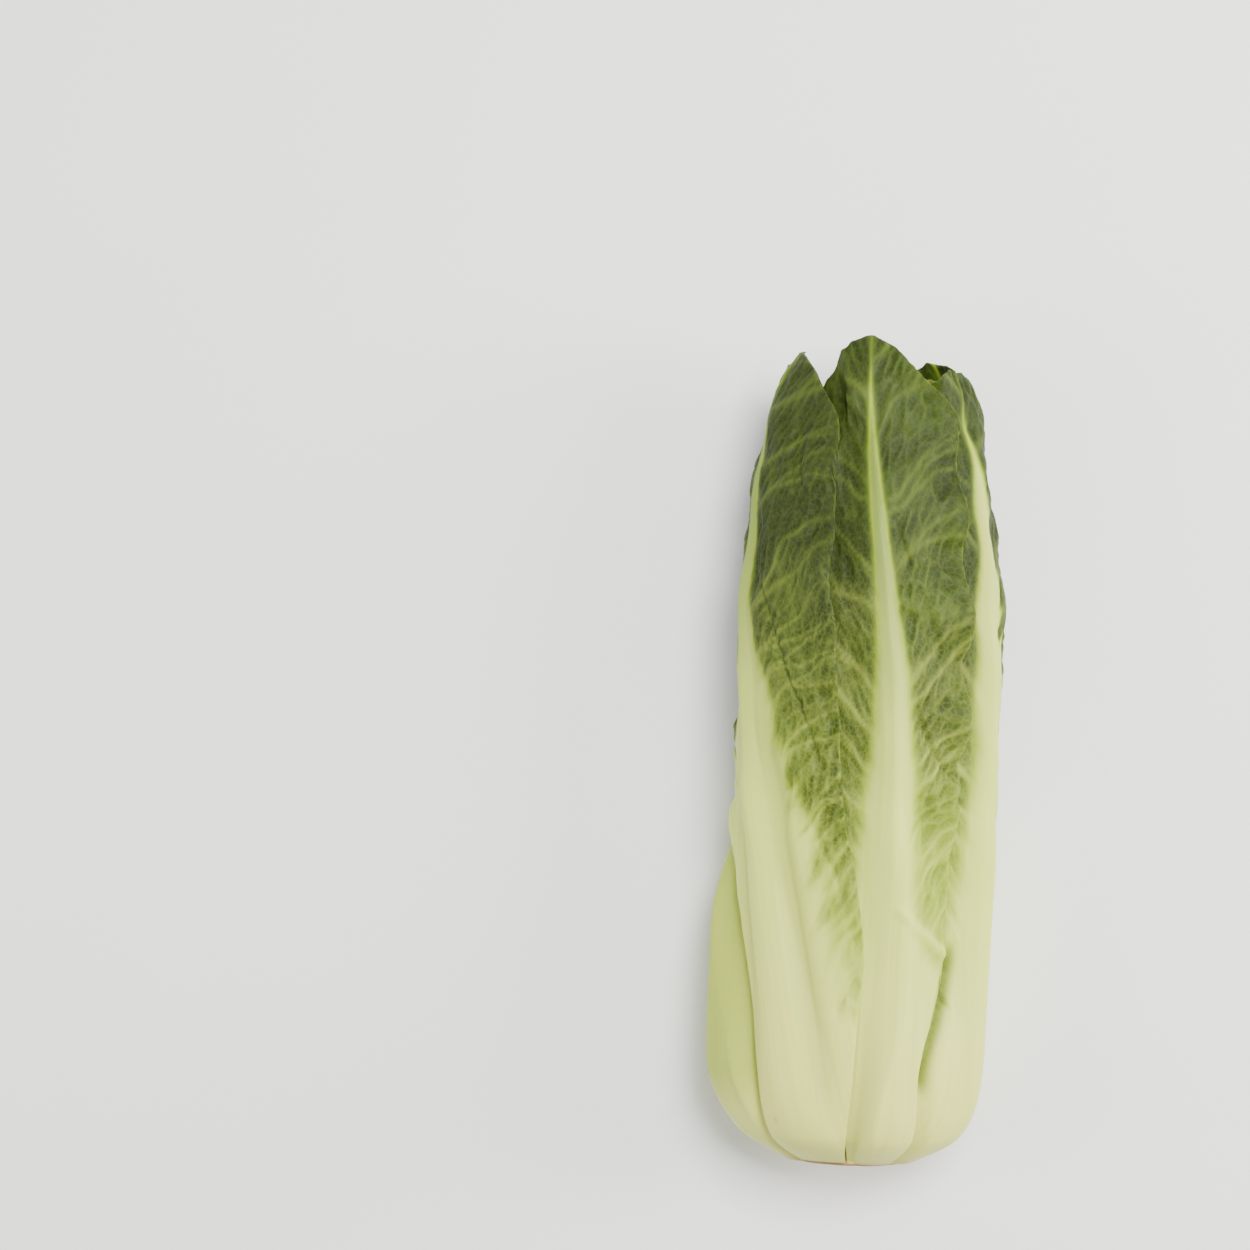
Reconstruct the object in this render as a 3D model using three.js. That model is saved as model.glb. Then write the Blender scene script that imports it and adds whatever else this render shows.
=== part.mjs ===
// A romaine lettuce heart, trimmed and lying on its side.
//
// Crisp leaves grow in a spiral from a short cone of stem and wrap round each other. Each leaf is one
// piece: a broad pale stalk at the foot that narrows into a raised midrib, and a thin waved blade. Six
// outer leaves make the outside of the head and eight smaller ones fill it.
//
// Lengths are in millimetres and angles in degrees. The head lies along Y, with its cut foot at -Y and
// its leaf tips at +Y. X is its width, Z is up, and the origin is under its middle on the surface.
//
// A point on a leaf is given by its turn round the head's axis (0 faces up, 90 faces +X), its height
// above the cut foot, and its distance from the axis.

import * as THREE from "three";

// The head as a whole
const shellEnd = 260;
const footRadius = 17;
const footFlare = 19.5;
const footRise = 8;
const bellyGain = 3.6;
const bellyHeight = 140;
const crownStart = 150;
const crownPower = 2.3;
const crownRoot = 2.2;
const flattening = 0.82;
const bowAcross = 1.5;
const lump = 0.6;
const lumpRound = 3;
const lumpWave = 240;

// The stem inside the foot
const stemRadius = 15;
const stemBulge = 1.6;
const bulgeHeight = 5;
const stemHeight = 56;
const stemRows = [0, 2.5, 5, 8, 12, 18, 26, 35, 44, 50, 54];
const stemFacets = 24;
const stemGap = 0.7;

// Heights over which the head changes: from foot to belly, then to full blades, and to its tips
const footEnd = 10;
const bellyStart = 60;
const bladeFull = 130;
const tipsStart = 170;
const tipsFull = 240;

// Layers: the air between leaves at the foot, at the belly and at the tips
const footGap = 2.2;
const bellyGap = 2.3;
const tipGap = 2.5;

// A leaf presses those inside it down fully up to the near distance past its margin, and not at all
// beyond the far one
const pressFar = 16;
const pressNear = 2;

// Shared swell of the blades, the frill along a free margin, and how far the free tips lean out
const swell = 0.8;
const swellRound = 7;
const swellWave = 40;
const swellDrift = 107;
const frill = 3.2;
const frillWave = 30;
const frillFrom = 0.55;
const tipLean = 3;

// One leaf, at seven stations from its foot to its tip
const stations = [0, 0.12, 0.2, 0.3, 0.5, 0.75, 1];
const midribHeight = [3.6, 4.2, 4.1, 3.8, 3.0, 1.7, 0.4];
const midribHalfWidth = [17, 16, 13.5, 11, 7, 4.2, 1.4];
const stalkThickness = [2.4, 2.6, 2.5, 2.3, 1.3, 0.9, 0.8];
const standFoot = 5;
const standRise = 30;
const standFall = 80;
const standEnd = 140;
const marginThickness = 0.8;
const leanStart = -40;
const leanEnd = 200;
const tipDrop = 27;
const tipRoundness = 0.62;
const tipShare = 0.45;
const attachHeight = 4;
const footRound = 10;
const footCut = 1.5;
const rowCrowding = 0.45;

// How far below the axis the head's weight has pressed its underside flat. Edges stay smooth there: the
// frill comes in where the cosine of the turn passes from one of these to the other.
const restDepth = 31.2;
const restEdge = -0.95;
const restClear = -0.6;

const { lerp, smoothstep, degToRad, clamp } = THREE.MathUtils;

// A smooth curve through one value for each station, at share v of a leaf's length.
function alongLeaf(values, v) {
  const last = stations.length - 1;
  const t = clamp(v, 0, 1);
  const i = Math.min(
    stations.findLastIndex((at) => at <= t),
    last - 1,
  );
  const slope = (k) => {
    const a = Math.max(k - 1, 0);
    const b = Math.min(k + 1, last);
    return (values[b] - values[a]) / (stations[b] - stations[a]);
  };
  const width = stations[i + 1] - stations[i];
  const s = (t - stations[i]) / width;
  return (
    (2 * s ** 3 - 3 * s ** 2 + 1) * values[i] +
    (s ** 3 - 2 * s ** 2 + s) * width * slope(i) +
    (3 * s ** 2 - 2 * s ** 3) * values[i + 1] +
    (s ** 3 - s ** 2) * width * slope(i + 1)
  );
}

// The angle of a wave of the given length, at a height.
const turnsIn = (height, wave) => (2 * Math.PI * height) / wave;

// The distance from the axis to the outside of the head.
function shellRadius(turn, height) {
  const foot = footFlare * (1 - Math.exp(-height / footRise));
  const belly = bellyGain * smoothstep(height, 0, bellyHeight);
  const toCrown = clamp((height - crownStart) / (shellEnd - crownStart), 0, 1);
  const crown = (1 - toCrown ** crownPower) ** (1 / crownRoot);
  const round = degToRad(turn);
  const lumps = Math.sin(lumpRound * round + turnsIn(height, lumpWave));
  const drifting = Math.sin(swellRound * round + turnsIn(height, swellDrift));
  const waves = drifting * Math.sin(turnsIn(height, swellWave));
  const onStalks = smoothstep(height, footEnd, bellyStart);
  const onBlades = smoothstep(height, bellyStart, bladeFull);
  const uneven = lump * lumps * onStalks + swell * waves * onBlades;
  const free = (footRadius + foot + belly) * crown + uneven;
  const down = -flattening * Math.cos(round);
  return down > 0 ? Math.min(free, restDepth / down) : free;
}

function stemRadiusAt(height) {
  const along = clamp(height / stemHeight, 0, 1);
  const bulge = stemBulge * Math.exp(-(((height - bulgeHeight) / bulgeHeight) ** 2));
  return stemRadius * (1 - along ** 1.15) ** 0.8 + bulge;
}

function gapAt(height) {
  const belly = smoothstep(height, footEnd, bellyStart);
  const tip = smoothstep(height, tipsStart, tipsFull);
  return lerp(lerp(footGap, bellyGap, belly), tipGap, tip);
}

// The six outer leaves, from the outermost in. left and right are the blade's reach either side of the
// midrib, at the stations.
const outerLeaves = [
  { name: "leaf_left", turn: -26, lean: -52, foot: 1.5, tip: 247,
    left: [18, 17, 19, 23, 38, 60, 50], right: [24, 33, 39, 47, 50, 57, 58] },
  { name: "leaf_back_left", turn: -94, lean: -14, foot: 0.5, tip: 240, stand: 4.5,
    left: [37, 42, 45, 48, 50, 54, 50], right: [41, 48, 47, 46, 46, 52, 50] },
  { name: "leaf_under", turn: 186, lean: 6, foot: 1.2, tip: 235, ridge: 0.5,
    left: [42, 44, 47, 50, 60, 64, 50], right: [40, 49, 50, 52, 60, 62, 50] },
  { name: "leaf_middle", turn: 10, lean: -16, leanStart: 120, leanEnd: 250, foot: 1, tip: 251,
    left: [14, 21, 30, 40, 56, 60, 48], right: [26, 18.5, 24, 28.5, 28, 35, 46] },
  { name: "leaf_right", turn: 76, lean: -16, foot: 0.7, tip: 243,
    left: [36, 43, 41, 36, 44, 46, 42], right: [36, 42, 50, 58, 70, 74, 58] },
  { name: "leaf_back_right", turn: 132, lean: -4, foot: 1.8, tip: 246,
    left: [16, 36, 44, 50, 60, 64, 52], right: [10, 32, 42, 48, 58, 62, 50] },
].map((leaf) => ({
  leanStart, leanEnd, thickness: 1, ridge: 1, stand: 0, air: 1.15, fade: pressFar, rows: 25, side: 6, ...leaf,
}));

// The inner leaves follow the spiral up the stem, each smaller than the last.
const innerCount = 8;
const spiral = 137.5;
const innerTurn = -20;
const innerFoot = 7.5;
const innerTip = 244;
const innerReach = [44, 48, 52, 56, 64, 66, 46];
const innerLeaves = Array.from({ length: innerCount }, (_, i) => {
  const reach = innerReach.map((r) => r * (1 + 0.05 * i));
  const slimmer = 0.85 - 0.04 * i;
  return {
    name: "leaf_inner_" + (i + 1),
    turn: innerTurn + spiral * i,
    lean: 8 * Math.sin(2.4 * i),
    leanStart,
    leanEnd,
    foot: innerFoot + 3 * i,
    tip: innerTip - 2.4 * i - 0.6 * i ** 2,
    left: reach,
    right: reach,
    thickness: slimmer,
    ridge: slimmer,
    stand: 0,
    air: 1.75,
    fade: 2.5 * pressFar,
    rows: 17,
    side: 6,
  };
});

const leaves = [...outerLeaves, ...innerLeaves];

// The height of the margin at share v of a leaf, and the rise of that row between margin and midrib.
const marginHeight = (leaf, v) => lerp(leaf.foot, leaf.tip - tipDrop, v);
const tipArc = (u) => tipDrop * Math.max(0, 1 - u ** 2) ** tipRoundness;
const rowRise = (u, v) => tipArc(u) * smoothstep(v, tipShare, 1) ** 1.5;

function midribTurn(leaf, height) {
  return leaf.turn + leaf.lean * smoothstep(height, leaf.leanStart, leaf.leanEnd);
}

// Where a point lies on a leaf: v along it, the angle from its midrib and the blade's reach on that side.
function placeOn(leaf, turn, height) {
  const v = clamp((height - leaf.foot) / (leaf.tip - tipDrop - leaf.foot), 0, 1);
  const away = THREE.MathUtils.euclideanModulo(turn - midribTurn(leaf, height) + 180, 360) - 180;
  const reach = alongLeaf(away < 0 ? leaf.left : leaf.right, v);
  return { v, away, reach };
}

// The stalk and blade as a sheet, and the midrib that stands out from it.
function thicknessOf(leaf, { v, away, reach }, height) {
  const across = degToRad(Math.abs(away)) * shellRadius(0, height);
  const u = clamp(Math.abs(away) / reach, 0, 1);
  const halfWidth = alongLeaf(midribHalfWidth, v);
  const ridge = Math.max(0, 1 - (across / halfWidth) ** 2) ** 1.5;
  return {
    sheet: lerp(alongLeaf(stalkThickness, v), marginThickness, u ** 2) * lerp(leaf.thickness, 1, u),
    midrib: alongLeaf(midribHeight, v) * ridge * leaf.ridge,
  };
}

// 1 over a leaf and just past its margin, falling to 0 where the leaves below are free of it.
function coverOf(leaf, { away, reach }, turn, height) {
  const beside = Math.max(0, Math.abs(away) - reach) * degToRad(shellRadius(0, height));
  const above = Math.max(0, height - (leaf.tip - tipDrop + tipArc(away / reach)));
  const below = Math.max(0, leaf.foot - height);
  const fade = leaf.fade * lerp(0.5, 1, smoothstep(height, footEnd, bellyStart));
  const past = Math.hypot(beside, above);
  return (1 - smoothstep(past, pressNear, fade)) * (1 - smoothstep(below, 0, pressNear));
}

// How deep the leaves outside number k press it below the shell there, and how much they cover it.
function coverAbove(k, turn, height) {
  let depth = 0;
  let covered = 0;
  for (const leaf of leaves.slice(0, k)) {
    const place = placeOn(leaf, turn, height);
    const cover = coverOf(leaf, place, turn, height);
    if (cover === 0) continue;
    const { sheet, midrib } = thicknessOf(leaf, place, height);
    depth += cover * (sheet + midrib * covered + leaf.air * gapAt(height));
    covered = 1 - (1 - covered) * (1 - cover);
  }
  return { depth, covered };
}

// The distances from the axis to a leaf's inner and outer faces.
function facesAt(k, turn, height) {
  const leaf = leaves[k];
  const place = placeOn(leaf, turn, height);
  const { depth, covered } = coverAbove(k, turn, height);
  const { sheet, midrib } = thicknessOf(leaf, place, height);
  const u = clamp(Math.abs(place.away) / place.reach, 0, 1);
  const wave = 0.5 + 0.5 * Math.sin(turnsIn(height, frillWave) + k + Math.sign(place.away));
  const facing = Math.cos(degToRad(turn));
  const offSurface = smoothstep(facing, restEdge, restClear);
  const lean = tipLean * smoothstep(height, leaf.tip - 2 * tipDrop, leaf.tip) ** 2;
  const ruffle = frill * wave * smoothstep(u, frillFrom, 1) * smoothstep(place.v, 0.3, 0.6);
  const risen = smoothstep(height, standFoot, standRise) * (1 - smoothstep(height, standFall, standEnd));
  const stand = leaf.stand * risen * smoothstep(facing, restClear, 0);
  const free = (ruffle + lean) * offSurface + stand;
  const outer = shellRadius(turn, height) - depth + (midrib + free) * (1 - covered);
  const attached = 1 - smoothstep(height - leaf.foot, 0, attachHeight);
  const inner = lerp(outer - midrib - sheet, stemRadiusAt(height) + stemGap, attached);
  const fromFoot = clamp((height - leaf.foot + footCut) / footRound, 0, 1);
  const rounded = lerp(stemRadiusAt(height) + stemGap, outer, Math.sqrt(1 - (1 - fromFoot) ** 2));
  return { inner, outer: Math.max(rounded, inner + marginThickness) };
}

// A point of the head in the part's own frame.
function placed(turn, height, distance) {
  const round = degToRad(turn);
  const bow = bowAcross * Math.sin((Math.PI * height) / shellEnd);
  return new THREE.Vector3(
    bow + distance * Math.sin(round),
    height,
    restDepth + flattening * distance * Math.cos(round),
  );
}

// The angles from the midrib at which a row has its points: three over the midrib, then out to the margin.
function columnsOf(leaf, v, height) {
  const midribEdge = alongLeaf(midribHalfWidth, v) / degToRad(shellRadius(0, height));
  const oneSide = (reach) => {
    const edge = Math.min(midribEdge, frillFrom * reach);
    const beyond = leaf.side - 2;
    const outward = Array.from({ length: beyond }, (_, i) => lerp(edge, reach, (i + 1) / beyond));
    return [edge / 2, edge, ...outward];
  };
  const left = oneSide(alongLeaf(leaf.left, v)).map((a) => -a);
  return [...left.reverse(), 0, ...oneSide(alongLeaf(leaf.right, v))];
}

// A leaf as one closed solid: its outer face, its inner face and the rim between them.
function leafMesh(k) {
  const leaf = leaves[k];
  const columns = 2 * leaf.side + 1;
  const outerFace = [];
  const innerFace = [];
  for (let row = 0; row < leaf.rows; row++) {
    const share = row / (leaf.rows - 1);
    const v = lerp(share ** 2, share, rowCrowding);
    const margin = marginHeight(leaf, v);
    for (const away of columnsOf(leaf, v, margin)) {
      const reach = alongLeaf(away < 0 ? leaf.left : leaf.right, v);
      const height = margin + rowRise(away / reach, v);
      const turn = midribTurn(leaf, height) + away;
      const { inner, outer } = facesAt(k, turn, height);
      outerFace.push(placed(turn, height, outer));
      innerFace.push(placed(turn, height, inner));
    }
  }
  for (const p of outerFace) p.z = Math.max(p.z, 0);
  return closedSheet(outerFace, innerFace, leaf.rows, columns);
}

// Two grids of points joined into one closed body, with their squares split along the same diagonals.
function closedSheet(outerFace, innerFace, rows, columns) {
  const points = [...outerFace, ...innerFace];
  const below = outerFace.length;
  const at = (row, column) => row * columns + column;
  const index = [];
  for (let r = 0; r < rows - 1; r++) {
    for (let c = 0; c < columns - 1; c++) {
      const [a, b, d, e] = [at(r, c), at(r, c + 1), at(r + 1, c), at(r + 1, c + 1)];
      index.push(a, b, e, a, e, d);
      index.push(below + a, below + e, below + b, below + a, below + d, below + e);
    }
  }
  const rim = [];
  for (let c = 0; c < columns; c++) rim.push(at(0, c));
  for (let r = 1; r < rows; r++) rim.push(at(r, columns - 1));
  for (let c = columns - 2; c >= 0; c--) rim.push(at(rows - 1, c));
  for (let r = rows - 2; r > 0; r--) rim.push(at(r, 0));
  rim.forEach((p, i) => {
    const q = rim[(i + 1) % rim.length];
    index.push(p, below + q, q, p, below + p, below + q);
  });
  const geometry = new THREE.BufferGeometry().setFromPoints(points);
  geometry.setIndex(index);
  return geometry;
}

// The stem: a cone with a flat cut face at the foot.
function stemMesh() {
  const profile = [
    new THREE.Vector2(0, 0),
    ...stemRows.map((h) => new THREE.Vector2(stemRadiusAt(h), h)),
    new THREE.Vector2(0, stemHeight),
  ];
  const geometry = new THREE.LatheGeometry(profile, stemFacets);
  geometry.scale(1, 1, flattening);
  geometry.translate(0, 0, restDepth);
  return geometry;
}

const outerLook = new THREE.MeshStandardMaterial({ color: "#a3b56a", roughness: 0.5, metalness: 0 });
const innerLook = new THREE.MeshStandardMaterial({ color: "#c3cd80", roughness: 0.5, metalness: 0 });
const stemLook = new THREE.MeshStandardMaterial({ color: "#ddd9b4", roughness: 0.6, metalness: 0 });

const head = new THREE.Group();
leaves.forEach((leaf, k) => {
  const look = k < outerLeaves.length ? outerLook : innerLook;
  const mesh = new THREE.Mesh(leafMesh(k), look);
  mesh.name = leaf.name;
  head.add(mesh);
});
const stem = new THREE.Mesh(stemMesh(), stemLook);
stem.name = "stem";
head.add(stem);

// The origin goes under the middle of the head.
const box = new THREE.Box3().setFromObject(head);
const middle = box.getCenter(new THREE.Vector3());
head.position.set(-middle.x, -middle.y, -box.min.z);

export default head;
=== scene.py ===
"""A trimmed romaine lettuce heart lying on its side, dressed over its CAD frame."""

import math

import bpy
import numpy as np
from mathutils import Matrix, Vector


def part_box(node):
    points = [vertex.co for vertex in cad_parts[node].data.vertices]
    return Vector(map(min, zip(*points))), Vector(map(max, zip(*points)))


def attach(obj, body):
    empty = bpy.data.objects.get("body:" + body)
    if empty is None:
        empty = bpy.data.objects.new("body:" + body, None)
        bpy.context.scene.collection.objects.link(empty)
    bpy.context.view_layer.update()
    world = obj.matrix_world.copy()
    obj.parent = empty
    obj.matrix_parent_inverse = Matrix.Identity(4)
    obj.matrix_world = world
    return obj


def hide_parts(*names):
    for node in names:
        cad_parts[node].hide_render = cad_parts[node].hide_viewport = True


# The frame
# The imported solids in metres, with the head along Y, its cut foot at -Y and its leaf tips at +Y.
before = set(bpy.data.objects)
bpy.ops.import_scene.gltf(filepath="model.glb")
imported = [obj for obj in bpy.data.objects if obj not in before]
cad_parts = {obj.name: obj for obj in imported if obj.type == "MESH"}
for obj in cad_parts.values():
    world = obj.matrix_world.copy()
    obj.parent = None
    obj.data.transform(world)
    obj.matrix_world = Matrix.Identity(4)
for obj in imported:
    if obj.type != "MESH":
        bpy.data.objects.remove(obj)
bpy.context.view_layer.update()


# The floor, the light and the camera
# A plain pale table top under soft studio light from above and from the right, in metres and watts. The
# head lies down, so the camera looks straight down, rolled a little because the head leans in the
# photograph. It hangs over the middle of the photograph, which is up and left of this head.
LIGHT_AIM = Vector((0.0, 0.0, 0.03))
ROOM_LIGHT = 0.42
FLOOR_SIZE = 6.0


def in_scene(name, data):
    """An object of that name, put in the scene."""
    thing = bpy.data.objects.new(name, data)
    bpy.context.scene.collection.objects.link(thing)
    return thing


def area_light(name, place, size, power, colour):
    """A soft rectangular lamp that points at the head."""
    data = bpy.data.lights.new(name, "AREA")
    data.shape = "RECTANGLE"
    data.size, data.size_y = size
    data.energy = power
    data.color = colour
    light = in_scene(name, data)
    light.location = place
    light.rotation_euler = (LIGHT_AIM - Vector(place)).to_track_quat("-Z", "Y").to_euler()


area_light("soft_top", (0.2, 0.35, 1.2), (0.5, 0.5), 28.0, (1.0, 0.99, 0.97))
area_light("soft_left", (-1.0, -0.1, 0.7), (0.5, 0.8), 8.0, (0.97, 0.99, 1.0))
area_light("soft_right", (1.0, 0.1, 0.5), (0.4, 0.7), 16.0, (1.0, 0.98, 0.95))

room = bpy.data.worlds.new("room")
bpy.context.scene.world = room
room.use_nodes = True
backdrop = room.node_tree.nodes["Background"]
backdrop.inputs["Color"].default_value = (1.0, 1.0, 1.0, 1.0)
backdrop.inputs["Strength"].default_value = ROOM_LIGHT

floor_mesh = bpy.data.meshes.new("floor")
half_floor = FLOOR_SIZE / 2
floor_corners = [(-1, -1), (1, -1), (1, 1), (-1, 1)]
floor_mesh.from_pydata([(x * half_floor, y * half_floor, 0) for x, y in floor_corners], [], [(0, 1, 2, 3)])
in_scene("floor", floor_mesh)

MM = 0.001
MM_PER_PIXEL = 0.307
PHOTO_PIXELS = 1250
HEAD_PIXEL = (858.0, 752.0)
HEAD_MIDDLE = 0.031
LENS = 110.0
SENSOR = 36.0
LEAN = math.radians(1.9)
view_width = PHOTO_PIXELS * MM_PER_PIXEL * MM
camera_height = view_width * LENS / SENSOR + HEAD_MIDDLE
from_head = Vector(
    (PHOTO_PIXELS / 2 - HEAD_PIXEL[0], HEAD_PIXEL[1] - PHOTO_PIXELS / 2, 0)
) * MM_PER_PIXEL * MM
camera_data = bpy.data.cameras.new("camera")
camera_data.lens = LENS
camera_data.sensor_width = SENSOR
camera = in_scene("camera", camera_data)
roll = Matrix.Rotation(LEAN, 4, "Z")
camera.matrix_world = roll @ Matrix.Translation(from_head + Vector((0, 0, camera_height)))
bpy.context.scene.camera = camera


class Signal:
    """A shader socket that can stand in a sum, so that the maths reads as maths."""

    def __init__(self, socket):
        self.socket = socket

    def maths(self, operation, *values):
        tree = self.socket.id_data
        node = tree.nodes.new("ShaderNodeMath")
        node.operation = operation
        for at, value in enumerate(values):
            if isinstance(value, Signal):
                tree.links.new(value.socket, node.inputs[at])
            else:
                node.inputs[at].default_value = value
        return Signal(node.outputs[0])

    def __add__(self, other):
        return self.maths("ADD", self, other)

    def __radd__(self, other):
        return self.maths("ADD", other, self)

    def __rsub__(self, other):
        return self.maths("SUBTRACT", other, self)

    def __mul__(self, other):
        return self.maths("MULTIPLY", self, other)

    def __rmul__(self, other):
        return self.maths("MULTIPLY", other, self)


class Finish:
    """A material whose nodes are added one call at a time."""

    def __init__(self, name):
        self.material = bpy.data.materials.new(name)
        self.material.use_nodes = True
        self.tree = self.material.node_tree
        self.surface = self.tree.nodes["Principled BSDF"]

    def feed(self, socket, value):
        """A socket gets a link from a signal, or else the value itself."""
        if isinstance(value, Signal):
            self.tree.links.new(value.socket, socket)
        else:
            socket.default_value = value

    def wear(self, name, value):
        """What the surface's own socket of that name gets."""
        self.feed(self.surface.inputs[name], value)

    def set_stops(self, ramp, stops):
        while len(ramp.elements) < len(stops):
            ramp.elements.new(1.0)
        for element, (place, colour) in zip(ramp.elements, stops):
            element.position = place
            element.color = colour

    def add(self, kind, settings=None, sockets=None, out=0):
        """A node: its settings are set first, then its sockets' values or links."""
        node = self.tree.nodes.new(kind)
        for name, value in (settings or {}).items():
            if name == "stops":
                self.set_stops(node.color_ramp, value)
            else:
                setattr(node, name, value)
        for name, value in (sockets or {}).items():
            self.feed(node.inputs[name], value)
        return Signal(node.outputs[out])

    def mixed(self, factor, colour_a, colour_b):
        """Two colours mixed by a factor."""
        sockets = {0: factor, 6: colour_a, 7: colour_b}
        return self.add("ShaderNodeMix", {"data_type": "RGBA"}, sockets, out=2)


def paint(red, green, blue):
    """A colour given as it looks on a screen, 0 to 255, in the numbers that shaders use."""
    def to_linear(value):
        share = value / 255
        return share / 12.92 if share <= 0.04045 else ((share + 0.055) / 1.055) ** 2.4

    return (to_linear(red), to_linear(green), to_linear(blue), 1.0)


def table_finish():
    """Smooth off-white laminate with a faint cloudy grain."""
    table_top = Finish("table_top")
    grain = table_top.add("ShaderNodeTexNoise", None, {"Scale": 60.0, "Detail": 4.0})
    table_top.wear("Base Color", table_top.mixed(grain, paint(238, 238, 236), paint(244, 244, 243)))
    table_top.wear("Roughness", 0.6)
    return table_top.material


floor_mesh.materials.append(table_finish())


# The outer leaves
# Six crisp leaves make the outside of the head, the outermost first. Each grows from the stem as a pale
# stalk that narrows into a raised midrib, with a thin blade on either side that turns green outwards.
# Sizes are in millimetres and degrees, and a height is measured up from the cut foot.
stem_low, stem_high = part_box("stem")
foot_centre = Vector(
    ((stem_low.x + stem_high.x) / 2, stem_low.y, (stem_low.z + stem_high.z) / 2)
)

# The shell is the outside of the whole head, which the outermost leaf follows
SHELL_END = 260.0
FOOT_RADIUS = 17.0
FOOT_FLARE = 19.5
FOOT_RISE = 8.0
BELLY_GAIN = 3.6
BELLY_HEIGHT = 140.0
CROWN_START = 150.0
CROWN_POWER = 2.3
CROWN_ROOT = 2.2
FLATTENING = 0.82
BOW_ACROSS = 1.5
LUMP = 0.6
LUMP_ROUND = 3
LUMP_WAVE = 240.0
SWELL = 0.8
SWELL_ROUND = 7
SWELL_WAVE = 40.0
SWELL_DRIFT = 107.0
REST_DEPTH = 31.2

# Heights that the rules share
FOOT_END = 10.0
BELLY_START = 60.0
BLADE_FULL = 130.0
TIPS_START = 170.0
TIPS_FULL = 240.0


def smoothstep(value, low, high):
    share = np.clip((value - low) / (high - low), 0, 1)
    return share * share * (3 - 2 * share)


def between(low, high, share):
    return low + (high - low) * share


def bell(distance, width):
    """1 at no distance, falling away on both sides."""
    return np.exp(-((distance / width) ** 2))


def turns_in(height, wave):
    """The angle of a wave of the given length, at a height."""
    return 2 * np.pi * height / wave


def shell_radius(turn, height):
    """The distance from the axis to the outside of the head."""
    foot = FOOT_FLARE * (1 - np.exp(-height / FOOT_RISE))
    belly = BELLY_GAIN * smoothstep(height, 0, BELLY_HEIGHT)
    to_crown = np.clip((height - CROWN_START) / (SHELL_END - CROWN_START), 0, 1)
    crown = (1 - to_crown**CROWN_POWER) ** (1 / CROWN_ROOT)
    around = np.radians(turn)
    lumps = np.sin(LUMP_ROUND * around + turns_in(height, LUMP_WAVE))
    drifting = np.sin(SWELL_ROUND * around + turns_in(height, SWELL_DRIFT))
    waves = drifting * np.sin(turns_in(height, SWELL_WAVE))
    on_stalks = smoothstep(height, FOOT_END, BELLY_START)
    on_blades = smoothstep(height, BELLY_START, BLADE_FULL)
    uneven = LUMP * lumps * on_stalks + SWELL * waves * on_blades
    free = (FOOT_RADIUS + foot + belly) * crown + uneven
    down = -FLATTENING * np.cos(around)
    pressed = REST_DEPTH / np.maximum(down, 0.01)
    return np.where(down > 0, np.minimum(free, pressed), free)


def laid_flat(angle, height):
    """How many millimetres across an angle is at a height, on a leaf that is laid out flat."""
    return np.radians(angle) * shell_radius(0, height)


def row_frame(turn, height, distance):
    """Points given round the head's axis, in metres in the frame."""
    around = np.radians(turn)
    bow = BOW_ACROSS * np.sin(np.pi * height / SHELL_END)
    x = foot_centre.x + (bow + distance * np.sin(around)) * MM
    y = foot_centre.y + height * MM
    z = foot_centre.z + FLATTENING * distance * np.cos(around) * MM
    return np.stack([x, y, z], axis=-1)


# The stem that the leaves grow from, and the air between one leaf and the next
STEM_RADIUS = 15.0
STEM_BULGE = 1.6
BULGE_HEIGHT = 5.0
STEM_HEIGHT = 56.0
STEM_GAP = 0.7
STEM_TAPER_START = 1.15
STEM_TAPER_END = 0.8
FOOT_GAP = 2.2
BELLY_GAP = 2.3
TIP_GAP = 2.5


def stem_radius_at(height):
    """A cone that swells a little just above the cut."""
    along = np.clip(height / STEM_HEIGHT, 0, 1)
    bulge = STEM_BULGE * bell(height - BULGE_HEIGHT, BULGE_HEIGHT)
    return STEM_RADIUS * (1 - along**STEM_TAPER_START) ** STEM_TAPER_END + bulge


def gap_at(height):
    """The usual air between a leaf and the next."""
    belly = smoothstep(height, FOOT_END, BELLY_START)
    tip = smoothstep(height, TIPS_START, TIPS_FULL)
    return between(between(FOOT_GAP, BELLY_GAP, belly), TIP_GAP, tip)


# What changes along a leaf has one value for each of these shares of its length
STATIONS = np.array([0, 0.12, 0.2, 0.3, 0.5, 0.75, 1])
MIDRIB_HEIGHT = [3.6, 4.2, 4.1, 3.8, 3.0, 1.7, 0.4]
MIDRIB_HALF_WIDTH = [17, 16, 13.5, 11, 7, 4.2, 1.4]
STALK_THICKNESS = [2.4, 2.6, 2.5, 2.3, 1.3, 0.9, 0.8]
PALE_HALF_WIDTH = [60, 60, 34, 18, 8, 4, 1.2]


def along_leaf(values, v):
    """A smooth curve through one value for each station, at share v of a leaf's length."""
    values = np.asarray(values, float)
    slopes = np.empty_like(values)
    slopes[1:-1] = (values[2:] - values[:-2]) / (STATIONS[2:] - STATIONS[:-2])
    slopes[0] = (values[1] - values[0]) / (STATIONS[1] - STATIONS[0])
    slopes[-1] = (values[-1] - values[-2]) / (STATIONS[-1] - STATIONS[-2])
    t = np.clip(v, 0, 1)
    i = np.clip(np.searchsorted(STATIONS, t, side="right") - 1, 0, len(values) - 2)
    width = STATIONS[i + 1] - STATIONS[i]
    s = (t - STATIONS[i]) / width
    return (
        (2 * s**3 - 3 * s**2 + 1) * values[i]
        + (s**3 - 2 * s**2 + s) * width * slopes[i]
        + (3 * s**2 - 2 * s**3) * values[i + 1]
        + (s**3 - s**2) * width * slopes[i + 1]
    )


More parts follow.
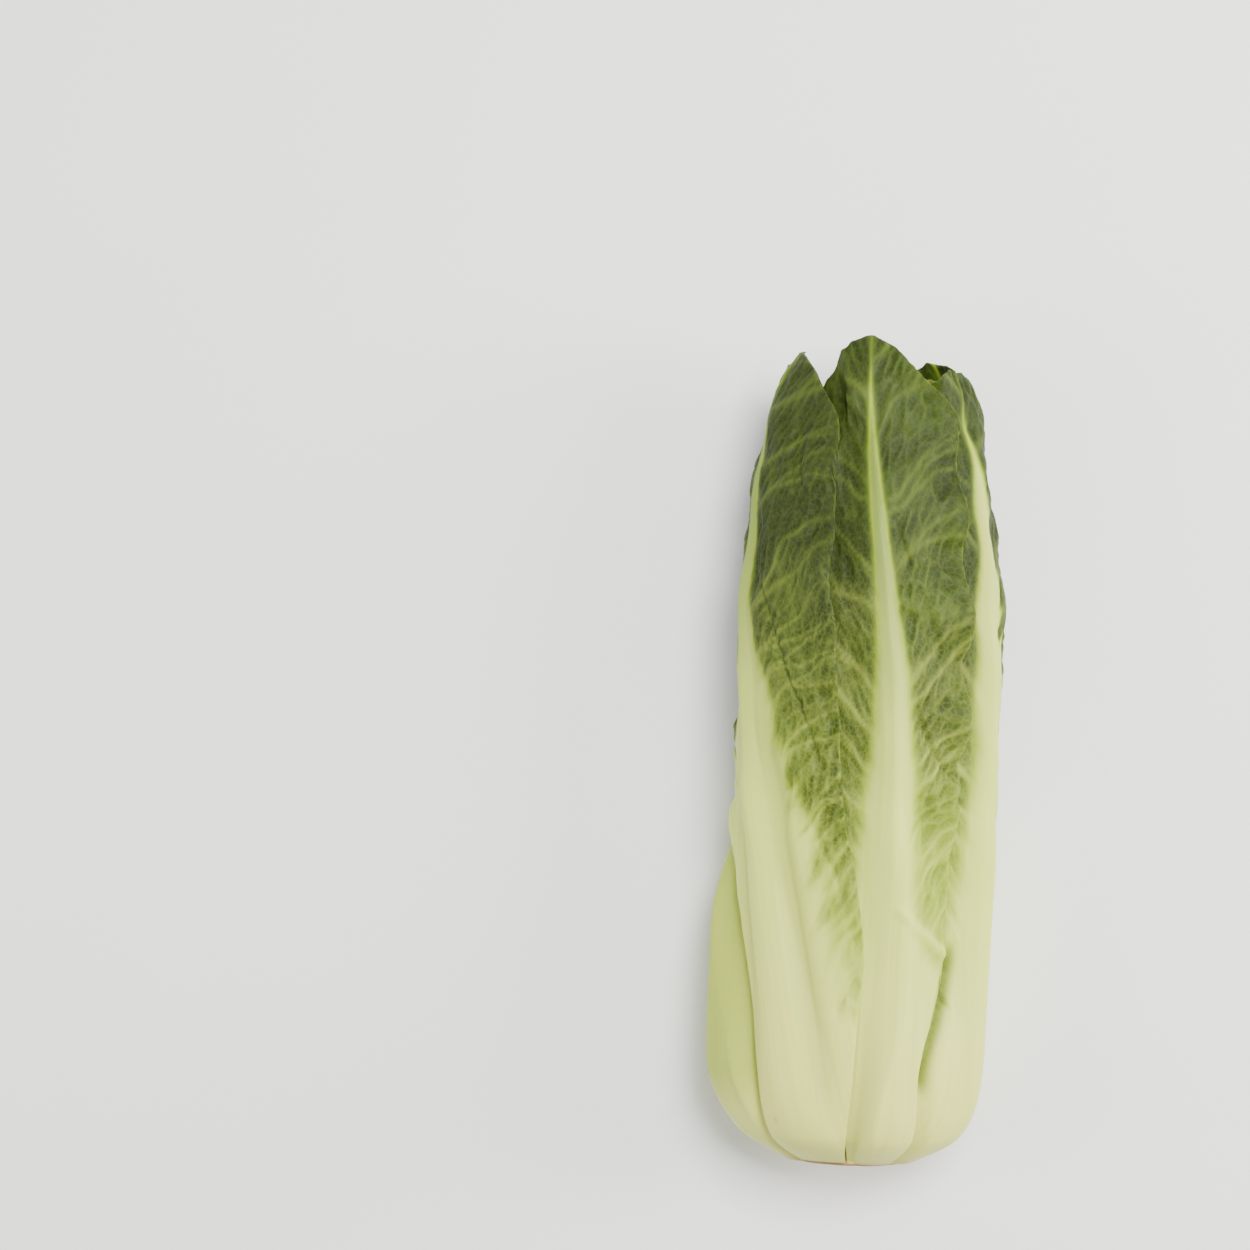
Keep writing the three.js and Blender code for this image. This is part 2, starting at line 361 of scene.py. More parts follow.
# A leaf's edge, its round tip, and how near to its margin it presses on the leaves below
MARGIN_THICKNESS = 0.8
TIP_DROP = 27.0
TIP_ROUNDNESS = 0.62
PRESS_FAR = 16.0
PRESS_NEAR = 2.0


class Leaf:
    """One leaf's place in the head, its outline and its looks.

    Each is given its name, the turn of its midrib round the axis and how far that leans on the way up,
    the heights of its foot and tip, and its reach in degrees to the left and right at each station.
    The rest has the usual value that stands here, unless it is given too.
    """

    # Shape: the heights between which the midrib leans, thickness, ridge and the air below as shares of
    # the usual, how far the stalk stands off, and how far past its margin it presses on other leaves
    lean_start = -40.0
    lean_end = 200.0
    thickness = 1.0
    ridge = 1.0
    stand = 0.0
    air = 1.15
    fade = PRESS_FAR

    # Looks: how far the pale stalk reaches to each side, how soft and feathered its edge is, and how
    # green the leaf's blade, stalk and midrib are
    pale_left = PALE_HALF_WIDTH
    pale_right = PALE_HALF_WIDTH
    softness = (20.0, 4.0)
    feathering = 1.0
    ripeness = 1.0
    stalk_green = 0.0
    rib_green = 1.0

    # Marks: where each flute runs beside the midrib and its depth, the two ends of a fold, the leaf
    # beside whose margin this one dips in, and the middle of a bruise
    flutes = ((-9.0, 0.45), (9.0, 0.45))
    fold = None
    recess_by = None
    bruise = None

    def __init__(self, name, **sizes):
        self.name = name
        for size, value in sizes.items():
            setattr(self, size, value)

    def margin_height(self, v):
        return between(self.foot, self.tip - TIP_DROP, v)

    def tip_arc(self, u):
        return TIP_DROP * np.maximum(0, 1 - u**2) ** TIP_ROUNDNESS

    def midrib_turn(self, height):
        return self.turn + self.lean * smoothstep(height, self.lean_start, self.lean_end)

    def place(self, turn, height):
        """Share along the leaf, angle from its midrib, and the blade's reach on that side."""
        v = np.clip((height - self.foot) / (self.tip - TIP_DROP - self.foot), 0, 1)
        away = (turn - self.midrib_turn(height) + 180) % 360 - 180
        reach = np.where(away < 0, along_leaf(self.left, v), along_leaf(self.right, v))
        return v, away, reach

    def thickness_of(self, v, away, reach, height):
        """How thick the leaf is, and how far its midrib stands out of it."""
        across = laid_flat(np.abs(away), height)
        u = np.clip(np.abs(away) / reach, 0, 1)
        ridge = np.maximum(0, 1 - (across / along_leaf(MIDRIB_HALF_WIDTH, v)) ** 2) ** 1.5
        stalk = along_leaf(STALK_THICKNESS, v)
        sheet = between(stalk, MARGIN_THICKNESS, u**2) * between(self.thickness, 1, u)
        return sheet, along_leaf(MIDRIB_HEIGHT, v) * ridge * self.ridge

    def cover(self, away, reach, height):
        """1 over this leaf and just past its margin, falling to 0 where leaves below are free of it."""
        beside = np.maximum(0, np.abs(away) - reach) * np.radians(shell_radius(0, height))
        over = np.maximum(0, height - (self.tip - TIP_DROP + self.tip_arc(away / reach)))
        below = np.maximum(0, self.foot - height)
        past = np.hypot(beside, over)
        fade = self.fade * between(0.5, 1, smoothstep(height, FOOT_END, BELLY_START))
        return (1 - smoothstep(past, PRESS_NEAR, fade)) * (1 - smoothstep(below, 0, PRESS_NEAR))


leaves = [
    Leaf(
        "leaf_left",
        turn=-26,
        lean=-52,
        foot=1.5,
        tip=247,
        left=[18, 17, 19, 23, 38, 60, 50],
        right=[24, 33, 39, 47, 50, 57, 58],
        pale_left=[60, 60, 60, 34, 28, 7, 1.2],
        pale_right=[60, 60, 20, 14, 15, 6, 1.2],
        flutes=((-10.0, 0.6), (11.5, 1.7)),
        bruise=(-4.3, 14.7),
    ),
    Leaf(
        "leaf_back_left",
        turn=-94,
        lean=-14,
        foot=0.5,
        tip=240,
        left=[37, 42, 45, 48, 50, 54, 50],
        right=[41, 48, 47, 46, 46, 52, 50],
        stand=4.5,
        stalk_green=0.2,
    ),
    Leaf(
        "leaf_under",
        turn=186,
        lean=6,
        foot=1.2,
        tip=235,
        left=[42, 44, 47, 50, 60, 64, 50],
        right=[40, 49, 50, 52, 60, 62, 50],
        ridge=0.5,
        stalk_green=0.06,
    ),
    Leaf(
        "leaf_middle",
        turn=10,
        lean=-16,
        foot=1,
        tip=251,
        left=[14, 21, 30, 40, 56, 60, 48],
        right=[26, 18.5, 24, 28.5, 28, 35, 46],
        lean_start=120.0,
        lean_end=250.0,
        pale_left=[60, 60, 40, 13, 6.5, 3.4, 1.6],
        pale_right=[60, 60, 36, 8, 4.4, 3.0, 1.4],
        softness=(11.0, 3.0),
        feathering=0.35,
        ripeness=0.94,
        fold=((3.0, 79.0), (20.0, 66.0)),
    ),
    Leaf(
        "leaf_right",
        turn=76,
        lean=-16,
        foot=0.7,
        tip=243,
        left=[36, 43, 41, 36, 44, 46, 42],
        right=[36, 42, 50, 58, 70, 74, 58],
        pale_left=[60, 44, 20, 11, 5, 4.5, 2.0],
        pale_right=[60, 60, 60, 40, 22, 12, 1.5],
        softness=(12.0, 3.0),
        rib_green=0.35,
        recess_by="leaf_middle",
    ),
    Leaf(
        "leaf_back_right",
        turn=132,
        lean=-4,
        foot=1.8,
        tip=246,
        left=[16, 36, 44, 50, 60, 64, 52],
        right=[10, 32, 42, 48, 58, 62, 50],
    ),
]
OUTER_COUNT = len(leaves)


def cover_above(k, turn, height):
    """How deep the leaves outside leaf number k press it below the shell, and how much they cover it."""
    depth = np.zeros_like(height)
    covered = np.zeros_like(height)
    for leaf in leaves[:k]:
        v, away, reach = leaf.place(turn, height)
        cover = leaf.cover(away, reach, height)
        sheet, midrib = leaf.thickness_of(v, away, reach, height)
        depth += cover * (sheet + midrib * covered + leaf.air * gap_at(height))
        covered = 1 - (1 - covered) * (1 - cover)
    return depth, covered


# How a leaf leaves the shell: a waved margin, a tip that leans out, a stalk that stands off, and a foot
# that joins the stem. The edge and clear of the rest are cosines of a turn, 1 on top and -1 underneath,
# between which a leaf gets free to stand off the flat that the head rests on.
FRILL = 3.2
FRILL_WAVE = 30.0
FRILL_FROM = 0.55
FRILL_START = 0.3
FRILL_FULL = 0.6
TIP_LEAN = 3.0
STAND_FOOT = 5.0
STAND_RISE = 30.0
STAND_FALL = 80.0
STAND_END = 140.0
REST_EDGE = -0.95
REST_CLEAR = -0.6
ATTACH_HEIGHT = 4.0
FOOT_ROUND = 10.0
FOOT_CUT = 1.5


def faces_at(k, turn, height):
    """The distances from the axis to a leaf's two faces, how covered it is, and how free of the rest."""
    leaf = leaves[k]
    v, away, reach = leaf.place(turn, height)
    depth, covered = cover_above(k, turn, height)
    sheet, midrib = leaf.thickness_of(v, away, reach, height)
    u = np.clip(np.abs(away) / reach, 0, 1)
    wave = 0.5 + 0.5 * np.sin(turns_in(height, FRILL_WAVE) + k + np.sign(away))
    facing = np.cos(np.radians(turn))
    off_surface = smoothstep(facing, REST_EDGE, REST_CLEAR)
    lean = TIP_LEAN * smoothstep(height, leaf.tip - 2 * TIP_DROP, leaf.tip) ** 2
    ruffle = FRILL * wave * smoothstep(u, FRILL_FROM, 1) * smoothstep(v, FRILL_START, FRILL_FULL)
    risen = smoothstep(height, STAND_FOOT, STAND_RISE) * (1 - smoothstep(height, STAND_FALL, STAND_END))
    stand = leaf.stand * risen * smoothstep(facing, REST_CLEAR, 0)
    free = (ruffle + lean) * off_surface + stand
    outer = shell_radius(turn, height) - depth + (midrib + free) * (1 - covered)
    attached = 1 - smoothstep(height - leaf.foot, 0, ATTACH_HEIGHT)
    stem = stem_radius_at(height) + STEM_GAP
    inner = between(outer - midrib - sheet, stem, attached)
    from_foot = np.clip((height - leaf.foot + FOOT_CUT) / FOOT_ROUND, 0, 1)
    rounded = between(stem, outer, np.sqrt(1 - (1 - from_foot) ** 2))
    return inner, np.maximum(rounded, inner + MARGIN_THICKNESS), covered, off_surface


class Noise:
    """Smooth seeded noise over the plane, from -1 to 1.

    A length that x or y is divided by sets how long its waves are, and a number added picks another part.
    """

    SIZE = 64

    def __init__(self, seed):
        self.values = np.random.default_rng(seed).uniform(-1, 1, (self.SIZE, self.SIZE))

    def __call__(self, x, y):
        column = np.floor(x).astype(int)
        row = np.floor(y).astype(int)
        fx = smoothstep(x - column, 0, 1)
        fy = smoothstep(y - row, 0, 1)
        at = lambda dx, dy: self.values[(row + dy) % self.SIZE, (column + dx) % self.SIZE]
        low = between(at(0, 0), at(1, 0), fx)
        high = between(at(0, 1), at(1, 1), fx)
        return between(low, high, fy)

    def rough(self, x, y, octaves=3):
        """Several octaves of it, each twice as fine and half as strong as the last."""
        total = 0
        for octave in range(octaves):
            scale = 2**octave
            total = total + self(x * scale + 7.3 * octave, y * scale + 3.1 * octave) / scale
        return total / 1.75


def cell_edges(x, y, seed):
    """How far each point is from the edge between its two nearest seeded cells."""
    jitter = np.random.default_rng(seed).uniform(0.1, 0.9, (Noise.SIZE, Noise.SIZE, 2))
    column = np.floor(x).astype(int)
    row = np.floor(y).astype(int)
    nearest = np.full(x.shape, 9.0)
    second = np.full(x.shape, 9.0)
    for dx in (-1, 0, 1):
        for dy in (-1, 0, 1):
            spot = jitter[(row + dy) % Noise.SIZE, (column + dx) % Noise.SIZE]
            distance = np.hypot(column + dx + spot[..., 0] - x, row + dy + spot[..., 1] - y)
            second = np.minimum(second, np.maximum(nearest, distance))
            nearest = np.minimum(nearest, distance)
    return second - nearest


# Side veins climb from the midrib to the margin, steeper low down, and fork on the way
VEIN_SEED = 40
VEIN_SPACING = 17.0
VEIN_RISE_LOW = 2.1
VEIN_RISE_HIGH = 0.95
VEIN_RISE_FROM = 30.0
VEIN_RISE_TO = 170.0
VEIN_RISE_LEAST = 0.3
VEIN_CURL = 0.008
VEIN_BEND = 4.6
VEIN_TREMOR = 1.5
VEIN_WIDE = 0.85
VEIN_NARROW = 0.35
VEIN_TAPER = 38.0
HALO_WIDTH = 3.2
FORK_SEED = 90
FORK_SHIFT = 0.42
FORK_AT = 12.0
FORK_VARIES = 8.0
FORK_RUN = 26.0
FORK_SPREAD = 0.28


def side_veins(k, out, line, side, steep):
    """The forking side veins, and the wider swell that each makes."""
    width = between(VEIN_WIDE, VEIN_NARROW, np.clip(out / VEIN_TAPER, 0, 1))
    number = line / VEIN_SPACING + 0.5 * side
    offsets = Noise(FORK_SEED + k)
    vein = np.zeros_like(out)
    halo = np.zeros_like(out)
    for step in (-1, 0, 1):
        which = np.floor(number) + step
        shift = FORK_SHIFT * offsets(which, side * 9)
        apart = (number - which - shift) * VEIN_SPACING
        fork_at = FORK_AT + FORK_VARIES * offsets(which + 31, side * 9)
        spread = FORK_SPREAD * VEIN_SPACING * smoothstep(out, fork_at, fork_at + FORK_RUN)
        for branch in (-1, 1):
            distance = np.abs(apart + branch * spread) / steep
            vein = np.maximum(vein, bell(distance, width))
            halo = np.maximum(halo, bell(distance, HALO_WIDTH * width))
    return vein, halo


# Finer branches cross between them, a net of the finest rings each hollow, and a few creases run up
BRANCH_SPACING = 6.5
BRANCH_RISE = 2.3
BRANCH_BEND = 2.2
BRANCH_STAGGER = 6.0
BRANCH_WIDTH = 1.1
NET_SEED = 70
NET_CELL = 4.6
NET_STRETCH = 1.3
NET_WIDTH = 0.17
HOLLOW_EDGE = 0.05
HOLLOW_FLOOR = 0.65
CREASE_WIDTH = 0.07


def vein_pattern(k, across, height):
    """What a blade laid out flat in mm carries: veins, branches, net, hollows, creases and barbs."""
    noise = Noise(VEIN_SEED + k)
    out = np.abs(across)
    side = np.where(across < 0, 1.0, 0.0)
    rise = between(VEIN_RISE_LOW, VEIN_RISE_HIGH, smoothstep(height, VEIN_RISE_FROM, VEIN_RISE_TO))
    climb = rise * out - VEIN_CURL * out**2
    bend = VEIN_BEND * noise(out / 19 + 20 * side, height / 24)
    tremor = VEIN_TREMOR * noise(out / 7, height / 7)
    line = height - climb + (bend + tremor)
    steep = np.sqrt(1 + np.maximum(VEIN_RISE_LEAST, rise - 2 * VEIN_CURL * out) ** 2)
    vein, halo = side_veins(k, out, line, side, steep)
    branch_bend = BRANCH_BEND * noise(out / 9 + 11, height / 9)
    number = (height - BRANCH_RISE * out + branch_bend + BRANCH_STAGGER * side) / BRANCH_SPACING
    from_branch = np.abs(number - np.round(number)) * BRANCH_SPACING
    shown = smoothstep(noise(out / 12 + 5, height / 15 + 9 * side), -0.35, 0.35)
    branch = bell(from_branch, BRANCH_WIDTH) * shown
    edge = cell_edges(out / NET_CELL + 31 * side, line / (NET_STRETCH * NET_CELL), NET_SEED + k)
    net = bell(edge, NET_WIDTH)
    hollow = smoothstep(edge, HOLLOW_EDGE, HOLLOW_FLOOR) * (1 - halo)
    from_crease = noise.rough((across + 0.32 * height) / 15 + 3, height / 47, 2)
    creased = smoothstep(noise(across / 17 + 40, height / 30 + 4), -0.1, 0.5)
    crease = bell(from_crease, CREASE_WIDTH) * creased
    barbs = noise.rough(line / 3.2 + 60, out / 16 + 9 * side, 2)
    return vein, halo, branch, net, hollow, crease, barbs


# The fine grid sits closer at the foot and at the midrib, and its margin is lobed
ROW_EVENNESS = 0.6
COLUMN_CROWDING = 0.35
COLUMN_POWER = 1.6
LOBE_SEED = 10
LOBE_WAVE = 16.0
LOBE_REACH = 0.045
LOBE_RISE = 1.6
TIP_LOBE_RISE = 3.0
TIP_LOBES = 2.6


def leaf_grid(k, rows, side):
    """For each point of a leaf's grid its share across, its height and its angle from the midrib."""
    leaf = leaves[k]
    share = np.linspace(0, 1, rows)
    v = between(share**2, share, ROW_EVENNESS)[:, None]
    u = np.concatenate([-np.linspace(1, 0, side + 1), np.linspace(0, 1, side + 1)[1:]])[None, :]
    u = np.sign(u) * between(np.abs(u), np.abs(u) ** COLUMN_POWER, COLUMN_CROWDING)
    scallop = Noise(LOBE_SEED + k)
    margin = leaf.margin_height(v)
    lobes = scallop.rough(margin / LOBE_WAVE + 5 * np.sign(u), 0.3)
    reach = np.where(u < 0, along_leaf(leaf.left, v), along_leaf(leaf.right, v))
    reach = reach * (1 + LOBE_REACH * lobes * smoothstep(v, 0.25, 0.5))
    height = margin + leaf.tip_arc(u) * smoothstep(v, 0.45, 1) ** 1.5
    tip_lobes = scallop.rough(TIP_LOBES * u + 20, 0.7)
    risen = LOBE_RISE * lobes * np.abs(u) ** 3 + TIP_LOBE_RISE * tip_lobes
    return u, height + risen * smoothstep(v, 0.8, 1), u * reach


# The marks that single leaves have: flutes down a stalk, the slit where one dips in beside the margin
# of the leaf over it, a fold across a margin, and a bruise
FLUTE_WIDTH = 4.2
FLUTE_FADE = 110.0
FLUTE_END = 160.0
RECESS_WIDTH = 1.9
RECESS_DEPTH = 2.2
RECESS_START = 20.0
RECESS_END = 72.0
RECESS_FADE = 10.0
RECESS_BESIDE_LOW = 4.4
RECESS_BESIDE_HIGH = 7.4
RECESS_VEERS_FROM = 26.0
RECESS_VEERS_TO = 62.0
FOLD_WIDTH = 1.7
FOLD_RISE = 0.9
BRUISE_SIZE = 0.9


def flute_depth(leaf, across, height):
    """How deep the flutes of a stalk are."""
    depth = np.zeros_like(across)
    for middle, deepest in leaf.flutes:
        depth = depth + deepest * bell(across - middle, FLUTE_WIDTH)
    return depth * (1 - smoothstep(height, FLUTE_FADE, FLUTE_END))


def recess_share(leaf, turn, height):
    """1 in the middle of the slit where the leaf dips in, and 0 away from it."""
    if leaf.recess_by is None:
        return np.zeros_like(turn)
    over = next(other for other in leaves if other.name == leaf.recess_by)
    _, away, reach = over.place(turn, height)
    beside = laid_flat(away - reach, height)
    starts = smoothstep(height, RECESS_START, RECESS_START + RECESS_FADE)
    ends = smoothstep(height, RECESS_END - RECESS_FADE, RECESS_END)
    veered = smoothstep(height, RECESS_VEERS_FROM, RECESS_VEERS_TO)
    middle = between(RECESS_BESIDE_LOW, RECESS_BESIDE_HIGH, veered)
    return bell(beside - middle, RECESS_WIDTH) * starts * (1 - ends)


def fold_share(leaf, across, height):
    """1 along the line of the leaf's fold, and 0 away from it."""
    if leaf.fold is None:
        return np.zeros_like(across)
    (start_across, start_height), (end_across, end_height) = leaf.fold
    run = end_across - start_across
    drop = end_height - start_height
    along = ((across - start_across) * run + (height - start_height) * drop) / (run**2 + drop**2)
    along = np.clip(along, 0, 1)
    off_across = across - start_across - along * run
    off_height = height - start_height - along * drop
    return bell(np.hypot(off_across, off_height), FOLD_WIDTH)


def bruise_share(leaf, across, height):
    """1 in the middle of the leaf's bruise, and 0 away from it."""
    if leaf.bruise is None:
        return np.zeros_like(across)
    return bell(np.hypot(across - leaf.bruise[0], height - leaf.bruise[1]), BRUISE_SIZE)


# How high or deep the texture of a blade and a stalk is
VEIN_HEIGHT = 0.5
BRANCH_HEIGHT = 0.3
HOLLOW_DEPTH = 0.75
PUCKER_DEPTH = 1.9
CREASE_DEPTH = 1.3
BARB_HEIGHT = 0.4
STALK_RIB = 0.22
STALK_FIBRE = 0.1
OFF_FOOT_FROM = 8.0
OFF_FOOT_TO = 30.0
COVERED_CALM = 0.55
MARGIN_FRILL = 1.8
MARGIN_FRILL_FROM = 0.78
LEAST_THICKNESS = 0.6
LEAST_CLEARANCE = 0.4
RUFFLE_SEED = 150

# Where the green starts: its streaks, and the heights over which its edge sharpens and its colour ripens
FEATHER_SEED = 120
FEATHER_STREAK = 6.0
FEATHER_VEIN = 3.0
FEATHER_BARB = 2.6
SHARPENS_FROM = 60.0
SHARPENS_TO = 190.0
RIPENS_FROM = 15.0
RIPENS_TO = 225.0
LEAST_GREEN = 0.12


def leaf_sheet(k, rows, side):
    """The fine grid of a leaf: its points on both faces, and what its finish varies with."""
    leaf = leaves[k]
    u, height, away = leaf_grid(k, rows, side)
    turn = leaf.midrib_turn(height) + away
    inner, outer, covered, off_surface = faces_at(k, turn, height)
    across = laid_flat(away, height)
    v, _, _ = leaf.place(turn, height)
    vein, halo, branch, net, hollow, crease, barbs = vein_pattern(k, across, height)
    feather = Noise(FEATHER_SEED + k)

    # Where the pale stalk ends and the green blade starts, in streaks that point up and out
    pale = np.where(away < 0, along_leaf(leaf.pale_left, v), along_leaf(leaf.pale_right, v))
    pale = pale * (1 - smoothstep(height, leaf.tip - 1.5 * TIP_DROP, leaf.tip - 2)) - 1
    streak = feather.rough((height - 2.0 * np.abs(across)) / 8, across / 26, 3)
    feathers = FEATHER_STREAK * streak + FEATHER_VEIN * (halo - 0.4) + FEATHER_BARB * barbs
    feathers = feathers * smoothstep(pale, 1, 14)
    from_pale = np.abs(across) - pale - leaf.feathering * feathers
    softness = between(*leaf.softness, smoothstep(height, SHARPENS_FROM, SHARPENS_TO))
    blade = smoothstep(from_pale, -1.0, softness)
    stalk = 1 - blade

    # What stands out of the blade or sinks into it, calmer where other leaves press on it
    pucker = feather.rough((across + 0.2 * height) / 10 + 50, height / 15, 2)
    relief = (
        VEIN_HEIGHT * vein * between(1, 0.5, np.abs(u))
        + BRANCH_HEIGHT * branch * (1 - vein)
        - HOLLOW_DEPTH * hollow
        + PUCKER_DEPTH * pucker
        - CREASE_DEPTH * crease
        + BARB_HEIGHT * barbs * (1 - halo)
    ) * (blade * (1 - COVERED_CALM * covered))

    # The stalk's ribs and fibres, which end above the foot, and the marks
    off_foot = smoothstep(height, OFF_FOOT_FROM, OFF_FOOT_TO)
    ribs = STALK_RIB * feather(across / 2.3 + 9, height / 80)
    fibres = STALK_FIBRE * feather(across / 0.9, height / 60)
    groove = flute_depth(leaf, across, height) * off_foot
    recess = recess_share(leaf, turn, height)
    fold = fold_share(leaf, across, height)
    relief = relief + stalk * (ribs + fibres) * off_foot - groove
    relief = relief - RECESS_DEPTH * recess + FOLD_RISE * fold

    # The ruffled margin, and both faces with it
    margin_wave = Noise(RUFFLE_SEED + k).rough(height / 9, 2 * np.sign(away) + 0.5)
    at_margin = smoothstep(np.abs(u), MARGIN_FRILL_FROM, 1) * smoothstep(v, FRILL_START, FRILL_FULL)
    lift = MARGIN_FRILL * (1 + margin_wave) * at_margin * (1 - covered) * off_surface
    outer = outer + relief + lift
    inner = np.minimum(inner + np.minimum(relief, 0.1) + lift, outer - LEAST_THICKNESS)
    outer_points = row_frame(turn, height, outer)
    inner_points = row_frame(turn, height, inner)
    outer_points[..., 2] = np.maximum(outer_points[..., 2], 0)
    inner_points[..., 2] = np.maximum(inner_points[..., 2], LEAST_CLEARANCE * MM)

    # Greener towards the tip and the margin, in patches, with paler veins, and with painted shade in the
    # hollows, creases, flutes and slit
    ripe = leaf.ripeness * smoothstep(height + 0.25 * np.abs(across), RIPENS_FROM, RIPENS_TO)
    patch = feather.rough(across / 13, height / 19)
    green = blade * between(LEAST_GREEN, 1, ripe) * (1 + 0.3 * patch)
    lines = 0.85 * vein * between(1, 0.4, np.clip(np.abs(across) / 34, 0, 1))
    paler = np.clip(lines + 0.1 * halo + 0.3 * branch + 0.26 * net + 0.2 * barbs, 0, 1) * blade
    # Painted shade in the blade's creases and hollows, less on the barbs
    painted_shade = np.clip(0.9 * crease + 0.35 * hollow - 0.7 * barbs * (1 - halo), 0, 1) * blade
    # Painted shade also in the stalk's flutes and in the slit beside the margin of the leaf over it
    painted_shade = painted_shade + 0.26 * groove * stalk + 0.9 * recess
    cut = 1 - smoothstep(height, 0.2, 3.0)
    return {
        "outer": outer_points,
        "inner": inner_points,
        "place": np.stack([across * MM, height * MM, np.full_like(across, 0.5 * k)], axis=-1),
        # The slit is greener, as the dipped wing is, besides its painted shade
        "green": np.maximum(green * (1 - 0.7 * fold), leaf.stalk_green * off_foot) + 0.34 * recess,
        "vein": np.maximum(paler, fold * blade),
        "hollow": painted_shade * (1 - fold),
        "cut": np.maximum(cut, 0.7 * bruise_share(leaf, across, height)),
        "rib": np.full_like(across, leaf.rib_green),
    }


# What each point of a leaf's mesh carries for its finish, besides its place on the leaf
CARRIED = ("green", "vein", "hollow", "cut", "rib")


def closed_sheet(name, sheet):
    """Two grids of points joined into one closed body, with what they carry for the finish."""
    rows, columns = sheet["green"].shape
    count = rows * columns
    points = np.concatenate([sheet["outer"].reshape(-1, 3), sheet["inner"].reshape(-1, 3)])
    grid = np.arange(count).reshape(rows, columns)
    a, b, d, e = grid[:-1, :-1], grid[:-1, 1:], grid[1:, :-1], grid[1:, 1:]
    outside = np.stack([a, b, e, d], axis=-1).reshape(-1, 4)
    inside = outside[:, ::-1] + count
    loop = np.concatenate([grid[0], grid[1:, -1], grid[-1, -2::-1], grid[-2:0:-1, 0]])
    after = np.roll(loop, -1)
    rim = np.stack([loop, loop + count, after + count, after], axis=-1)
    quads = np.concatenate([outside, inside, rim])
    mesh = bpy.data.meshes.new(name)
    mesh.vertices.add(len(points))
    mesh.vertices.foreach_set("co", points.astype(np.float32).ravel())
    mesh.loops.add(quads.size)
    mesh.loops.foreach_set("vertex_index", quads.astype(np.int32).ravel())
    mesh.polygons.add(len(quads))
    mesh.polygons.foreach_set("loop_start", np.arange(0, quads.size, 4, dtype=np.int32))
    mesh.update(calc_edges=True)
    mesh.shade_smooth()
    for value in CARRIED:
        both = np.tile(sheet[value].ravel(), 2).astype(np.float32)
        mesh.attributes.new(value, "FLOAT", "POINT").data.foreach_set("value", both)
    both = np.tile(sheet["place"].reshape(-1, 3), (2, 1)).astype(np.float32)
    mesh.attributes.new("place", "FLOAT_VECTOR", "POINT").data.foreach_set("vector", both.ravel())
    return mesh


# The leaf skin's paints, and how its patterns are stretched across, along and between leaves
STALK_AT_FOOT = paint(226, 226, 128)
STALK_ABOVE = paint(216, 228, 110)
STALK_BAND = paint(188, 200, 82)
STALK_STREAK = paint(176, 188, 74)
MIDRIB_AT_TIP = paint(122, 140, 62)
VEIN_BELOW = paint(186, 198, 82)
VEIN_AT_TIP = paint(92, 108, 38)
# Dark green for the painted shade in hollows, creases, flutes and the slit
PAINTED_HOLLOW_SHADE = paint(38, 52, 8)
BROWNED = paint(190, 150, 92)
BLADE_STOPS = [
    (0.28, paint(144, 162, 44)),
    (0.5, paint(90, 107, 30)),
    (0.7, paint(56, 71, 20)),
    (0.85, paint(42, 54, 15)),
    (1.0, paint(32, 42, 11)),
]
FIBRE_STRETCH = (1300.0, 40.0, 1.0)
BAND_STRETCH = (210.0, 9.0, 1.0)
MOTTLE_STRETCH = (260.0, 170.0, 1.0)
CELL_STRETCH = (620.0, 520.0, 1.0)


def stretched(skin, place, stretch):
    """A place on the leaf in metres, multiplied so that a pattern repeats finer or coarser along each."""
    return skin.add("ShaderNodeVectorMath", {"operation": "MULTIPLY"}, {0: place, 1: stretch})


def noise_over(skin, place, stretch, detail):
    """Cloudy noise over a leaf."""
    sockets = {"Vector": stretched(skin, place, stretch), "Scale": 1.0, "Detail": detail}
    return skin.add("ShaderNodeTexNoise", None, sockets)


def soft_step(skin, value, low, high, start=0.0, end=1.0):
    """From start to end while the value goes from low to high."""
    sockets = {"Value": value, "From Min": low, "From Max": high, "To Min": start, "To Max": end}
    return skin.add("ShaderNodeMapRange", {"interpolation_type": "SMOOTHSTEP"}, sockets)


